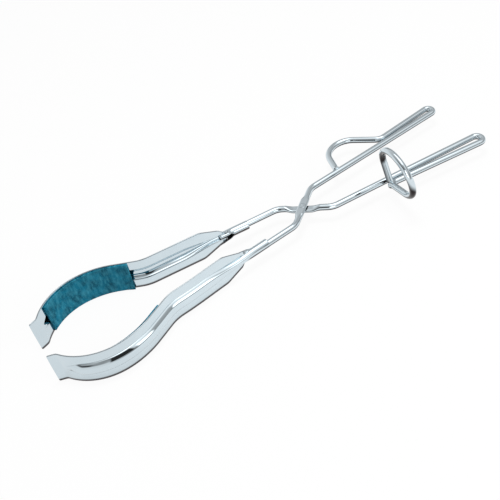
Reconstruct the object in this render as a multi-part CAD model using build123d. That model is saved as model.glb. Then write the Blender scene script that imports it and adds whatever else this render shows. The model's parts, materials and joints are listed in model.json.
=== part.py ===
from build123d import *
import math
import os

# Beaker tongs: two bent wire arms that cross at one rivet, each with a stamped sheet jaw
# at its front end and a fibre gasket glued in the bow of the jaw.
# Lengths in millimetres. X runs from the jaw tips to the handle ends, Y is the way the
# jaws open, Z is the rivet's axis. The arms are drawn about the rivet's mid height, with
# the tips at X = 0, and the finished pieces are then moved to stand on Z = 0.

# The whole tool
overall_length = 350.0
pivot_x = 203.5

# Wire arms
wire_diameter = 4.8
crossing_angle = 40.0
arm_bend_radius = 12.0
jaw_bend_half_gap = 12.0
handle_bend_half_gap = 14.2
shank_angle = 4.75
handle_angle = 4.1
strand_gap = 0.6
crotch_radius = 8.0

# Flattened eye of each arm
blade_width = 6.4
blade_thickness = 2.35
blade_flat_half_length = 6.5
blade_taper_length = 6.5
blade_gap = 0.1

# Rivet
rivet_diameter = 3.2
rivet_head_diameter = 5.2
rivet_head_height = 0.4
rivet_dimple_diameter = 1.2
rivet_dimple_depth = 0.2
rivet_radial_clearance = 0.05
rivet_axial_clearance = 0.05

# Finger loop, bent in the plane of the tongs
finger_hairpin_inner_width = 2.9
finger_crotch_x = 294.0
finger_lead_angle = 45.0
finger_lead_length = 48.6
finger_loop_inner_diameter = 28.6
finger_foot_x = 246.8

# Thumb ring, bent up and outwards across the handle
thumb_hairpin_inner_width = 4.2
thumb_apex_x = 265.7
thumb_ring_inner_diameter = 31.0
thumb_ring_reach = 27.3
thumb_ring_rise = 53.7
thumb_ring_lean = 12.0
thumb_bend_radius = 4.6

# Weld that closes a loop on its own wire
weld_size = 1.0

# Jaw sheet, bow and bead
sheet_thickness = 0.8
jaw_width = 24.8
tip_lip_length = 5.2
tip_lip_angle = 20.0
tip_bend_radius = 2.5
tip_edge_bulge = 0.4
tip_corner_radius = 1.0
bow_height = 38.0
bow_front_radius = 40.0
bow_front_angle = 58.0
bow_rear_radius = 52.5
bow_rear_angle = 29.5
throat_bend_radius = 25.0
bead_width = 10.0
bead_depth = 3.0
bead_tip_width = 1.6
bead_front_angle = 55.0
bead_full_angle = 39.0
shoulder_x = 126.0
shoulder_radius = 9.0

# Rolled socket that grips the wire
mouth_x = 143.5
socket_length = 21.0
socket_clearance = 0.05
socket_seam_width = 0.5
seam_mouth_width = 1.8
seam_mouth_length = 6.0
throat_height = 8.6
ear_length = 6.0
wire_end_past_mouth = 1.5

# Gasket
pad_thickness = 1.5
pad_edge_margin = 0.5
pad_glue_gap = 0.1
pad_front_angle = 43.0
pad_rear_run = 11.0

quarter_turn = 90.0
wire_radius = wire_diameter / 2
half_sheet = sheet_thickness / 2
half_jaw = jaw_width / 2
socket_bore_radius = wire_radius + socket_clearance
socket_outer_radius = socket_bore_radius + sheet_thickness


def polar(length, degrees):
    """A flat vector of this length, turned from +X towards +Y."""
    return Vector(length * math.cos(math.radians(degrees)), length * math.sin(math.radians(degrees)))


def meet(point_a, angle_a, point_b, angle_b):
    """Where two flat lines cross, each given by a point and a direction in degrees."""
    a = polar(1, angle_a)
    b = polar(1, angle_b)
    gap = point_b - point_a
    along = (gap.X * b.Y - gap.Y * b.X) / (a.X * b.Y - a.Y * b.X)
    return point_a + a * along


# Corners of the +Y half of the plan: the crossing line passes the pivot, and the shank
# and the handle leave it at its two bends.
pivot = Vector(pivot_x, 0)
jaw_corner = pivot + Vector(-jaw_bend_half_gap / math.tan(math.radians(crossing_angle)), jaw_bend_half_gap)
handle_corner = pivot + Vector(
    handle_bend_half_gap / math.tan(math.radians(crossing_angle)), handle_bend_half_gap
)
shank_heading = -shank_angle
hairpin_far_x = overall_length - wire_radius


def at_x(point, degrees, x):
    """The point of a flat line at this X."""
    return Vector(x, point.Y + (x - point.X) * math.tan(math.radians(degrees)))


# Jaw line: the middle of the sheet seen from above, from the tip to the socket's mouth.
# The bow is drawn from its crest to both ends, then set so that the tip is at X = 0.
front_bow = JernArc((0, bow_height), (-1, 0), bow_front_radius, bow_front_angle)
tip_bend = JernArc(front_bow @ 1, front_bow % 1, tip_bend_radius, tip_lip_angle - bow_front_angle)
tip_lip = Line(tip_bend @ 1, (tip_bend @ 1) + (tip_bend % 1) * tip_lip_length)
crest_x = -(tip_lip @ 1).X
rear_bow = JernArc((crest_x, bow_height), (1, 0), bow_rear_radius, -bow_rear_angle)
throat_turn = bow_rear_angle - shank_angle
throat_corner = meet(rear_bow @ 1, -bow_rear_angle, jaw_corner, shank_heading)
throat_tangent = throat_bend_radius * math.tan(math.radians(throat_turn / 2))
slope_end = throat_corner - polar(throat_tangent, -bow_rear_angle)
slope = Line(rear_bow @ 1, slope_end)
throat_bend = JernArc(slope_end, polar(1, -bow_rear_angle), throat_bend_radius, throat_turn)
mouth = at_x(jaw_corner, shank_heading, mouth_x)
tail = Line(throat_bend @ 1, mouth)
to_tip = Pos(crest_x, 0, 0)
jaw_line = [to_tip * tip_lip, to_tip * tip_bend, to_tip * front_bow, rear_bow, slope, throat_bend, tail]
lip_piece, tip_piece, front_piece, rear_piece, slope_piece, throat_piece, tail_piece = range(len(jaw_line))


def on_jaw(index, share):
    """Point, heading and outward normal of the jaw line at a share of one of its pieces."""
    edge = jaw_line[index]
    if index <= front_piece:
        point = edge @ (1 - share)
        heading = (edge % (1 - share)) * -1
    else:
        point = edge @ share
        heading = edge % share
    return point, heading, Vector(-heading.Y, heading.X)


def beside_jaw(index, share, distance):
    """A point of the jaw line moved along its outward normal."""
    point, heading, normal = on_jaw(index, share)
    return point + normal * distance


def offset_run(spans, distance):
    """Neighbouring pieces of the jaw line, moved outwards. A span is a piece, its start and its end.

    Each piece ends on the very point where the next one starts.
    """
    corners = [beside_jaw(index, start, distance) for index, start, end in spans]
    corners.append(beside_jaw(spans[-1][0], spans[-1][2], distance))
    run = []
    for (index, start, end), here, there in zip(spans, corners, corners[1:]):
        if jaw_line[index].geom_type == GeomType.LINE:
            run.append(Line(here, there))
        else:
            run.append(ThreePointArc(here, beside_jaw(index, (start + end) / 2, distance), there))
    return run


def band(spans, outer_distance, inner_distance):
    """A flat band seen from above, between two offsets of a run of the jaw line."""
    outer = offset_run(spans, outer_distance)
    inner = offset_run(spans, inner_distance)
    ends = [Line(outer[0] @ 0, inner[0] @ 0), Line(outer[-1] @ 1, inner[-1] @ 1)]
    return make_face(outer + inner + ends)


def section_plane(point, heading, normal):
    """Plane across the sheet: local X points outwards, local Y up."""
    return Plane(origin=(point.X, point.Y, 0), x_dir=(normal.X, normal.Y, 0), z_dir=(heading.X, heading.Y, 0))


def bead_outside(plane, half_width, depth):
    """Half-round section of the bead's outer skin, closed at the middle of the sheet."""
    arc = ThreePointArc((0, -half_width), (depth, 0), (0, half_width))
    return plane * make_face([arc, Line(arc @ 1, arc @ 0)])


def bead_inside(plane, half_width, depth):
    """Section of the bead's hollow, which opens through the sheet's inner face."""
    arc = ThreePointArc((0, -half_width), (depth, 0), (0, half_width))
    back = -sheet_thickness
    sides = [
        Line((0, half_width), (back, half_width)),
        Line((back, half_width), (back, -half_width)),
        Line((back, -half_width), (0, -half_width)),
    ]
    return plane * make_face([arc] + sides)


def bead_run(section, full, tube, skin):
    """One skin of the bead: it rises at the front of the bow, follows it, and narrows to the socket.

    full and tube are half the width and the depth in the bow and at the socket. skin is how
    far this skin stands from the middle of the sheet.
    """
    front_start = 1 - bead_front_angle / bow_front_angle
    front_full = 1 - bead_full_angle / bow_front_angle
    rising = []
    for share in (0.0, 0.5, 1.0):
        plane = section_plane(*on_jaw(front_piece, front_start + (front_full - front_start) * share))
        grown = math.sin(math.radians(90 * share))
        half_width = bead_tip_width / 2 + skin + (full[0] - bead_tip_width / 2 - skin) * grown
        depth = max(skin, 0.02) + (full[1] - max(skin, 0.02)) * grown**2
        rising.append(section(plane, half_width, depth))
    shoulder = at_x(jaw_corner, shank_heading, shoulder_x)
    full_run = offset_run(
        [(front_piece, front_full, 1), (rear_piece, 0, 1), (slope_piece, 0, 1), (throat_piece, 0, 1)], 0
    )
    path = Wire(full_run + [Line(full_run[-1] @ 1, shoulder)])
    start = section_plane(*on_jaw(front_piece, front_full))
    body = sweep(section(start, *full), path=path)
    at_shoulder = socket_frame(shoulder_x)
    at_ears = socket_frame(mouth_x - ear_length * math.cos(math.radians(shank_angle)))
    narrowing = loft([section(at_shoulder, *full), section(at_ears, *tube)])
    closing = extrude(section(at_ears, *tube), amount=ear_length)
    return loft(rising) + body + narrowing + closing


def jaw_sheet():
    """The strip along the jaw line with its hollow bead, cut to its outline."""
    spans = [(index, 0, 1) for index in range(len(jaw_line))]
    overrun = -(tip_edge_bulge + sheet_thickness) / tip_lip_length
    spans[0] = (lip_piece, overrun, 1)
    strip = extrude(band(spans, half_sheet, -half_sheet), amount=half_jaw + sheet_thickness, both=True)
    half_bead = bead_width / 2
    skin_full = (half_bead + half_sheet, bead_depth + half_sheet)
    skin_tube = (socket_outer_radius, socket_outer_radius)
    hollow_full = (half_bead - half_sheet, bead_depth - half_sheet)
    hollow_tube = (socket_bore_radius, socket_bore_radius)
    blank = extrude(side_outline(), amount=-2 * bow_height)
    skin = bead_run(bead_outside, skin_full, skin_tube, half_sheet)
    hollow = bead_run(bead_inside, hollow_full, hollow_tube, -half_sheet)
    return ((strip + skin) & blank) - hollow


def side_outline():
    """The strip's outline seen along Y: bulged tip, parallel flanges, tapered shoulders."""
    throat = throat_height / 2
    past = 1.0
    half = [
        Line((mouth_x + past, 0), (mouth_x + past, throat)),
        Line((mouth_x + past, throat), (mouth_x, throat)),
        Line((mouth_x, throat), (shoulder_x, half_jaw)),
        Line((shoulder_x, half_jaw), (0, half_jaw)),
    ]
    tip = ThreePointArc((0, half_jaw), (-tip_edge_bulge, 0), (0, -half_jaw))
    other = [mirror(piece, about=Plane.XZ) for piece in half]
    flat = make_face(half + [tip] + other)
    corners = flat.vertices().filter_by(lambda v: abs(v.X) < 0.01)
    flat = fillet(corners, tip_corner_radius)
    shoulders = flat.vertices().filter_by(lambda v: abs(v.X - shoulder_x) < 0.01)
    flat = fillet(shoulders, shoulder_radius)
    return Plane.XZ * flat


def socket_frame(x):
    """Plane across the wire at this X of the +Y shank: local X points outwards, local Y up."""
    heading = polar(1, shank_heading)
    return section_plane(at_x(jaw_corner, shank_heading, x), heading, Vector(-heading.Y, heading.X))


def rolled_socket():
    """The tube rolled round the wire, its open seam and the two ears that lead into it."""
    frame = socket_frame(mouth_x)
    ring = Circle(socket_outer_radius) - Circle(socket_bore_radius)
    tube = extrude(frame * ring, amount=socket_length)
    reach = 2 * socket_outer_radius
    seam = Box(reach, socket_seam_width, 3 * socket_length, align=(Align.MAX, Align.CENTER, Align.CENTER))
    flare = Wire.make_polygon(
        [(0, -seam_mouth_width / 2), (seam_mouth_length, 0), (0, seam_mouth_width / 2)], close=True
    )
    side_plane = Plane(origin=frame.origin, x_dir=frame.z_dir, z_dir=frame.x_dir * -1)
    notch = extrude(side_plane * make_face(flare.edges()), amount=reach)
    half_ring = ring & Pos(-socket_outer_radius, 0) * Rectangle(2 * socket_outer_radius, 4 * socket_outer_radius)
    ears = extrude(frame * half_ring, amount=-ear_length)
    top = Plane(origin=frame.origin, x_dir=frame.z_dir, z_dir=(0, 0, 1))
    slant = Wire.make_polygon(
        [(-2 * ear_length, 0), (-ear_length, 0), (0, -1.05 * socket_outer_radius), (-2 * ear_length, -reach)],
        close=True,
    )
    wedge = extrude(top * make_face(slant.edges()), amount=reach, both=True)
    return (tube - frame * seam - notch) + (ears - wedge)


def make_jaw():
    """The +Y jaw: beaded sheet cut to its outline, with its rolled socket."""
    return jaw_sheet() + rolled_socket()


def make_pad():
    """The +Y gasket: a strip of even thickness that follows the inner face of the bow."""
    front_share = 1 - pad_front_angle / bow_front_angle
    rear_share = pad_rear_run / slope.length
    spans = [(front_piece, front_share, 1), (rear_piece, 0, 1), (slope_piece, 0, rear_share)]
    back = -half_sheet - pad_glue_gap
    pad = extrude(band(spans, back, back - pad_thickness), amount=half_jaw - pad_edge_margin, both=True)
    return fillet(pad.edges().filter_by(Axis.Z), 0.3)


def round_section(plane):
    """The wire's round section, in four arcs that match the corners of the flat eye."""
    corners = [polar(wire_radius, quarter_turn * (i - 0.5)) for i in range(4)]
    middles = [polar(wire_radius, quarter_turn * i) for i in range(4)]
    arcs = [ThreePointArc(corners[i], middles[i], corners[(i + 1) % 4]) for i in range(4)]
    return plane * make_face(arcs)


def flat_section(plane):
    """The flattened eye's section: flat faces with half-round edges."""
    rim = blade_thickness / 2
    wide = blade_width / 2
    corners = [(wide - rim, -rim), (wide - rim, rim), (rim - wide, rim), (rim - wide, -rim)]
    outline = [
        ThreePointArc(corners[0], (wide, 0), corners[1]),
        Line(corners[1], corners[2]),
        ThreePointArc(corners[2], (-wide, 0), corners[3]),
        Line(corners[3], corners[0]),
    ]
    return plane * make_face(outline)


def make_blade(side, level):
    """The flattened middle of an arm on its crossing line, with the rivet's hole.

    side is 1 for the arm whose handle is at +Y, -1 for the other. level is 1 for the
    upper eye and -1 for the lower one.
    """
    heading = polar(1, side * crossing_angle)
    across = Vector(-heading.Y, heading.X)
    middle = level * (blade_gap + blade_thickness) / 2

    def plane_at(run, height):
        spot = pivot + heading * run
        return Plane(origin=(spot.X, spot.Y, height), x_dir=across, z_dir=heading)

    ends = blade_flat_half_length + blade_taper_length
    flat_start = flat_section(plane_at(-blade_flat_half_length, middle))
    flat_end = flat_section(plane_at(blade_flat_half_length, middle))
    front = loft([round_section(plane_at(-ends, 0)), flat_start])
    eye = extrude(flat_start, amount=2 * blade_flat_half_length)
    back = loft([flat_end, round_section(plane_at(ends, 0))])
    hole = Pos(pivot_x, 0, middle) * Cylinder(rivet_diameter / 2 + rivet_radial_clearance, 2 * blade_thickness)
    return front + eye + back - hole


def along(path_edges):
    """The round wire along a path of tangent pieces: a cylinder on a line, a torus on an arc."""
    runs = []
    for edge in path_edges:
        start = Plane(origin=edge @ 0, z_dir=edge % 0)
        runs.append(sweep(start * Circle(wire_radius), path=edge))
    return runs[0].fuse(*runs[1:])


def shank_wire(side):
    """The wire from inside the socket to the eye. side is 1 for a jaw at +Y."""
    start = at_x(jaw_corner, shank_heading, mouth_x - wire_end_past_mouth)
    eye_start = pivot - polar(blade_flat_half_length + blade_taper_length, -crossing_angle)
    route = [Vector(p.X, side * p.Y) for p in (start, jaw_corner, eye_start)]
    return along(FilletPolyline(*route, radius=arm_bend_radius).edges())


def strand_at(x):
    """The second strand's centre beside the rod at this X of the +Y handle."""
    rod = at_x(handle_corner, handle_angle, x)
    return rod + Vector(0, wire_diameter + strand_gap)


def hairpin(inner_width, strand_x):
    """One arc round the end of the +Y handle, tangent to the rod and to the second strand.

    The strand runs back to where it lies beside the rod at strand_x. The arc's far point is
    at the end of the tool: its centre lies one radius from both lines and from that end.
    """
    rod_end = at_x(handle_corner, handle_angle, hairpin_far_x)
    strand_end = rod_end + Vector(0, inner_width + wire_diameter)
    rod_way = polar(1, handle_angle)
    strand_way = (strand_at(strand_x) - strand_end).normalized()
    rod_side = Vector(-rod_way.Y, rod_way.X)
    strand_side = Vector(-strand_way.Y, strand_way.X)
    rod_share = (1 + rod_side.X) / rod_side.Y
    strand_share = (1 + strand_side.X) / strand_side.Y
    radius = (inner_width + wire_diameter) / (rod_share - strand_share)
    centre = Vector(hairpin_far_x - radius, rod_end.Y + radius * rod_share)
    far_point = centre + Vector(radius, 0)
    return ThreePointArc(centre - rod_side * radius, far_point, centre - strand_side * radius)


def rod_to(arc):
    """The +Y handle's rod from the eye to the hairpin arc."""
    eye_end = pivot + polar(blade_flat_half_length + blade_taper_length, crossing_angle)
    return FilletPolyline(eye_end, handle_corner, arc @ 0, radius=arm_bend_radius)


def weld_collar(point, direction, run):
    """A small fillet of weld metal round a wire end: a cone from a wide foot to the wire."""
    plane = Plane(origin=point, z_dir=direction)
    foot = plane * Circle(wire_radius + weld_size)
    top = plane.offset(run) * Circle(wire_radius * 0.98)
    return loft([foot, top])


def make_finger_arm():
    """The arm with the finger loop: -Y jaw shank, upper eye, +Y handle."""
    arc = hairpin(finger_hairpin_inner_width, finger_crotch_x)
    crotch = strand_at(finger_crotch_x)
    loop_corner = crotch + polar(finger_lead_length, 180 - finger_lead_angle)
    rod_at_foot = at_x(handle_corner, handle_angle, finger_foot_x)
    inward = (loop_corner - rod_at_foot).normalized()
    foot = rod_at_foot + inward * (wire_radius * 0.6)
    loop_radius = finger_loop_inner_diameter / 2 + wire_radius
    loop = FilletPolyline(arc @ 1, crotch, loop_corner, foot, radius=[crotch_radius, loop_radius])
    handle = along(rod_to(arc).edges() + [arc] + loop.edges())
    weld = weld_collar(rod_at_foot + inward * (wire_radius * 0.7), inward, 1.2 * wire_radius)
    return shank_wire(-1) + make_blade(1, 1) + handle + weld


def make_thumb_arm():
    """The arm with the thumb ring: +Y jaw shank, lower eye, -Y handle."""
    arc = hairpin(thumb_hairpin_inner_width, thumb_apex_x)
    strand = strand_at(thumb_apex_x)
    apex = Vector(strand.X, -strand.Y)
    lean = math.radians(thumb_ring_lean)
    rise = math.radians(thumb_ring_rise)
    reach_way = Vector(-math.sin(lean), -math.cos(lean) * math.cos(rise), math.cos(lean) * math.sin(rise))
    upper_way = Vector(0, math.sin(rise), math.cos(rise))
    ring_radius = thumb_ring_inner_diameter / 2 + wire_radius
    centre = apex + reach_way * thumb_ring_reach
    half_angle = math.asin(ring_radius / thumb_ring_reach)
    bar = thumb_ring_reach * math.cos(half_angle)
    upper_bar = reach_way * math.cos(half_angle) + upper_way * math.sin(half_angle)
    lower_bar = reach_way * math.cos(half_angle) - upper_way * math.sin(half_angle)
    top = apex + upper_bar * bar
    bottom = apex + lower_bar * bar
    far = centre + reach_way * ring_radius
    butt = apex + lower_bar * (wire_radius * 0.6)
    rod_and_hairpin = [mirror(edge, about=Plane.XZ) for edge in rod_to(arc).edges() + [arc]]
    bend = FilletPolyline(rod_and_hairpin[-1] @ 1, apex, top, radius=thumb_bend_radius)
    ring = ThreePointArc(top, far, bottom)
    closing = Line(bottom, butt)
    handle = along(rod_and_hairpin + bend.edges() + [ring, closing])
    weld = weld_collar(apex + lower_bar * wire_radius, lower_bar, 1.2 * wire_radius)
    return shank_wire(1) + make_blade(-1, -1) + handle + weld


def make_rivet():
    """The rivet: a shank through both eyes, a low domed head each side with a punched cone."""
    face_height = blade_gap / 2 + blade_thickness + rivet_axial_clearance
    head_radius = rivet_head_diameter / 2
    crown = face_height + rivet_head_height
    shoulder = rivet_head_height / 3
    half = [
        Line((0, 0), (rivet_diameter / 2, 0)),
        Line((rivet_diameter / 2, 0), (rivet_diameter / 2, face_height)),
        Line((rivet_diameter / 2, face_height), (head_radius, face_height)),
        Line((head_radius, face_height), (head_radius, face_height + shoulder)),
        TangentArc((0, crown), (head_radius, face_height + shoulder), tangent=(1, 0)),
        Line((0, crown), (0, 0)),
    ]
    top = revolve(Plane.XZ * make_face(half), axis=Axis.Z)
    dimple = Cone(0, rivet_dimple_diameter / 2, rivet_dimple_depth, align=(Align.CENTER, Align.CENTER, Align.MAX))
    top -= Pos(0, 0, crown) * dimple
    rivet = top + mirror(top, about=Plane.XY)
    return Pos(pivot_x, 0, 0) * rivet


right_jaw = make_jaw()
right_pad = make_pad()
pieces = {
    "finger_arm": make_finger_arm(),
    "thumb_arm": make_thumb_arm(),
    "left_jaw": mirror(right_jaw, about=Plane.XZ),
    "right_jaw": right_jaw,
    "left_pad": mirror(right_pad, about=Plane.XZ),
    "right_pad": right_pad,
    "pivot_rivet": make_rivet(),
}

# The origin is on the surface that the tongs lie on, under the middle of the whole tool.
whole = Compound(children=[piece.solids()[0] for piece in pieces.values()]).bounding_box()
stand = Pos(-whole.center().X, -whole.center().Y, -whole.min.Z)

os.makedirs("parts", exist_ok=True)
for name, piece in pieces.items():
    export_step(stand * piece, f"parts/{name}.step")
print("moved by", stand.position)
print("pivot at", (stand * Pos(pivot_x, 0, 0)).position)
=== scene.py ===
import json
import bmesh
import bpy
import numpy as np
from mathutils import Euler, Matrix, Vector


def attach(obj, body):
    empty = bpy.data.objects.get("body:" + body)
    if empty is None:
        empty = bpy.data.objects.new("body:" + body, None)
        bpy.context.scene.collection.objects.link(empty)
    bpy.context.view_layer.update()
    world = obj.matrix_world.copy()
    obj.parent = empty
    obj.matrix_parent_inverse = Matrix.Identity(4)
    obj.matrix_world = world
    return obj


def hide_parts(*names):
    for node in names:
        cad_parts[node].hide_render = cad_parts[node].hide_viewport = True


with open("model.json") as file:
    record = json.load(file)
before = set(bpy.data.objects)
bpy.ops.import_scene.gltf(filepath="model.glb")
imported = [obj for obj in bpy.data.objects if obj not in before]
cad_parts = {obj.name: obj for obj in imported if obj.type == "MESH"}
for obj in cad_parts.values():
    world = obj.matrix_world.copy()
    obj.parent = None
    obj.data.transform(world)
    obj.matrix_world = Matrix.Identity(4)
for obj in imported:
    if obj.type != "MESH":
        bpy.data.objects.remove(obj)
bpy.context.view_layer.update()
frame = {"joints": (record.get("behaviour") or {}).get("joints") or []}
scene = bpy.context.scene

# Beaker tongs on a white table. Shapes are drawn in millimetres on the tongs' own drawing: X from
# the jaw tips to the handle ends, Y across, Z along the rivet, with the tips at X = 0 and the
# wires' mid height at Z = 0. The rivet says where that drawing lies in the frame.

tongs = {"pivotX": 203.5, "length": 350.0, "wire": 4.8, "crossing": 40.0, "shank": 4.75, "handle": 4.1}
drawingZero = np.array(frame["joints"][0]["pos_m"]) * 1000 - [tongs["pivotX"], 0, 0]


# Drawing millimetres to metres in the frame.
def toFrame(points):
    return (points + drawingZero) / 1000


# A flat direction, in degrees from +X towards +Y.
def heading(degrees):
    angle = np.radians(degrees)
    return np.array([np.cos(angle), np.sin(angle), 0.0])


# A vector divided by its length.
def unit(vector):
    return vector / np.linalg.norm(vector)


# Rises from 0 to 1 with level ends as value goes from 0 to 1: 3 v squared - 2 v cubed.
def smooth(value):
    value = np.clip(value, 0, 1)
    return value * value * (3 - 2 * value)


# A closed skin from a grid of points: each row is a closed loop, joined to the next by four-sided
# faces. Capped ends get a fan of triangles round their mean point. Points that fall together, as
# where a sheet closes on itself, are merged. The map holds two lengths in millimetres for each
# point, for patterns that follow the piece, and fromFoot is a third one that the jaws need.
def loopPiece(name, grid, lengths, node, body, slot, capped=True, fromFoot=None):
    rows, columns = grid.shape[:2]
    here = np.arange(rows * columns).reshape(rows, columns)
    beside = np.roll(here, -1, 1)
    faces = np.stack([here[:-1], beside[:-1], beside[1:], here[1:]], -1).reshape(-1, 4).tolist()
    points, spots = grid.reshape(-1, 3), lengths.reshape(-1, 2)
    if capped:
        points = np.vstack([points, grid[0].mean(0), grid[-1].mean(0)])
        spots = np.vstack([spots, lengths[0].mean(0), lengths[-1].mean(0)])
        faces += np.stack([beside[0], here[0], np.full(columns, rows * columns)], -1).tolist()
        faces += np.stack([here[-1], beside[-1], np.full(columns, rows * columns + 1)], -1).tolist()
    mesh = bpy.data.meshes.new(name)
    mesh.from_pydata(toFrame(points).tolist(), [], faces)
    corners = np.empty(len(mesh.loops), dtype=int)
    mesh.loops.foreach_get("vertex_index", corners)
    mesh.uv_layers.new(name="lengths").data.foreach_set("uv", spots[corners].ravel())
    if fromFoot is not None:
        mesh.attributes.new("fromFoot", "FLOAT", "POINT").data.foreach_set("value", fromFoot.ravel())
    shape = bmesh.new()
    shape.from_mesh(mesh)
    bmesh.ops.remove_doubles(shape, verts=shape.verts, dist=1e-6)  # metres
    bmesh.ops.recalc_face_normals(shape, faces=shape.faces)
    shape.to_mesh(mesh)
    shape.free()
    mesh.polygons.foreach_set("use_smooth", np.ones(len(mesh.polygons), bool))
    piece = bpy.data.objects.new(name, mesh)
    scene.collection.objects.link(piece)
    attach(piece, body)
    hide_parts(node)
    return piece


# Camera: the photograph's own, found by fitting mirrored features of the two arms.
view = {
    "place": (-169.9, -365.6, 363.2), "turn": (47.093, 10.543, -31.777),
    "lens": 54.72, "sensor": 36.0, "clipStart": 0.01,
}
cameraData = bpy.data.cameras.new("photoCamera")
cameraData.lens = view["lens"]
cameraData.sensor_width = view["sensor"]
cameraData.clip_start = view["clipStart"]
camera = bpy.data.objects.new("photoCamera", cameraData)
camera.location = Vector(view["place"]) / 1000
camera.rotation_euler = Euler([np.radians(a) for a in view["turn"]])
scene.collection.objects.link(camera)
scene.camera = camera
print("camera placed")


# Wire arms. Each is one wire from inside its socket, through the flattened eye at the rivet,
# along the handle, round the hairpin and into the finger loop or the thumb ring. A weld closes
# the loop and the ring, and weldSink is how many radii the wire's end sinks into the other wire.

bends = {
    "armRadius": 12.0, "jawHalfGap": 12.0, "handleHalfGap": 14.2, "wireStart": 142.0,
    "strandGap": 0.6, "crotchRadius": 8.0, "weldSink": 0.6,
}
eye = {"width": 6.4, "thickness": 2.35, "flatHalf": 6.5, "taper": 6.5, "gap": 0.1}
wireSkin = {
    "around": 44, "step": 0.55, "leastPoints": 3, "inset": 0.03, "weldFlare": 0.35,
    "weldLength": 3.2, "endDome": 0.9, "endLeast": 0.1, "sameLevel": 0.01,
}
fingerLoop = {
    "hairpinInner": 2.9, "crotchX": 294.0, "leadAngle": 45.0, "leadLength": 48.6,
    "innerDiameter": 28.6, "footX": 246.8,
}
thumbRing = {
    "hairpinInner": 4.2, "apexX": 265.7, "innerDiameter": 31.0, "reach": 27.3,
    "rise": 53.7, "lean": 12.0, "bendRadius": 4.6,
}
wireRadius = tongs["wire"] / 2
pivot = np.array([tongs["pivotX"], 0.0, 0.0])
crossingTan = np.tan(np.radians(tongs["crossing"]))
jawCorner = pivot + [-bends["jawHalfGap"] / crossingTan, bends["jawHalfGap"], 0]
handleCorner = pivot + [bends["handleHalfGap"] / crossingTan, bends["handleHalfGap"], 0]


# Where a flat line through this point has this X.
def onLine(point, degrees, x):
    return np.array([x, point[1] + (x - point[0]) * np.tan(np.radians(degrees)), 0.0])


# A wire through these corners as runs: start, way, axis and radius of the bend, length. A bend
# of radius r that turns by t starts r tan(t / 2) before its corner. A straight run has no axis.
def cornerRuns(corners, radii):
    runs = []
    here = corners[0]
    for corner, following, radius in zip(corners[1:-1], corners[2:], radii):
        way, onward = unit(corner - here), unit(following - corner)
        turn = np.arccos(np.clip(way @ onward, -1, 1))
        cut = radius * np.tan(turn / 2)
        runs.append((here, way, None, 0, np.linalg.norm(corner - here) - cut))
        runs.append((corner - way * cut, way, unit(np.cross(way, onward)), radius, radius * turn))
        here = corner + onward * cut
    runs.append((here, unit(corners[-1] - here), None, 0, np.linalg.norm(corners[-1] - here)))
    return runs


# The middle of the second strand beside the rod.
def strandAt(x):
    return onLine(handleCorner, tongs["handle"], x) + [0, tongs["wire"] + bends["strandGap"], 0]


# One bend round the handle's end, tangent to its rod and to the strand that runs back. Its
# centre lies one radius from both lines and one radius before the far end.
def hairpinRun(inner, strandX):
    farX = tongs["length"] - wireRadius
    rodEnd = onLine(handleCorner, tongs["handle"], farX)
    strandEnd = rodEnd + [0, inner + tongs["wire"], 0]
    rodWay = heading(tongs["handle"])
    strandWay = unit(strandAt(strandX) - strandEnd)
    rodSide = np.array([-rodWay[1], rodWay[0], 0])
    strandSide = np.array([-strandWay[1], strandWay[0], 0])
    rodShare = (1 + rodSide[0]) / rodSide[1]
    strandShare = (1 + strandSide[0]) / strandSide[1]
    radius = (inner + tongs["wire"]) / (rodShare - strandShare)
    centre = np.array([farX - radius, rodEnd[1] + radius * rodShare, 0])
    turn = np.pi + np.arcsin(np.cross(-rodWay, strandWay)[2])
    start, end = centre - rodSide * radius, centre - strandSide * radius
    return (start, rodWay, np.array([0, 0, 1.0]), radius, radius * turn), end


# A vector turned about an axis by each angle of a column: the part along the axis stays, and
# the rest turns as cos(t) rest + sin(t) (axis x vector).
def turnedAbout(vector, axis, angle):
    straight = axis * (axis @ vector)
    return straight + np.cos(angle) * (vector - straight) + np.sin(angle) * np.cross(axis, vector)


# Points, side and up vectors and travelled length along the runs. On a bend a point is
# start + r sin(t) way + r (1 - cos(t)) inward, and the section turns by the same angle t.
def sampleRuns(runs):
    up = np.array([0, 0, 1.0])
    points, ways, ups, lengths = [], [], [], []
    travelled = 0.0
    for index, (start, way, axis, radius, length) in enumerate(runs):
        count = max(int(np.ceil(length / wireSkin["step"])), wireSkin["leastPoints"])
        s = np.linspace(0, length, count, endpoint=index == len(runs) - 1)[:, None]
        if axis is None:
            points.append(start + way * s)
            ways.append(np.repeat(way[None], count, 0))
            ups.append(np.repeat(up[None], count, 0))
        else:
            inward = np.cross(axis, way)
            t = s / radius
            points.append(start + radius * (np.sin(t) * way + (1 - np.cos(t)) * inward))
            ways.append(np.cos(t) * way + np.sin(t) * inward)
            ups.append(turnedAbout(up, axis, t))
            up = turnedAbout(up, axis, np.array([[length / radius]]))[0]
        lengths.append(s[:, 0] + travelled)
        travelled += length
    ways, ups = np.vstack(ways), np.vstack(ups)
    return np.vstack(points), np.cross(ups, ways), ups, np.concatenate(lengths)


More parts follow.
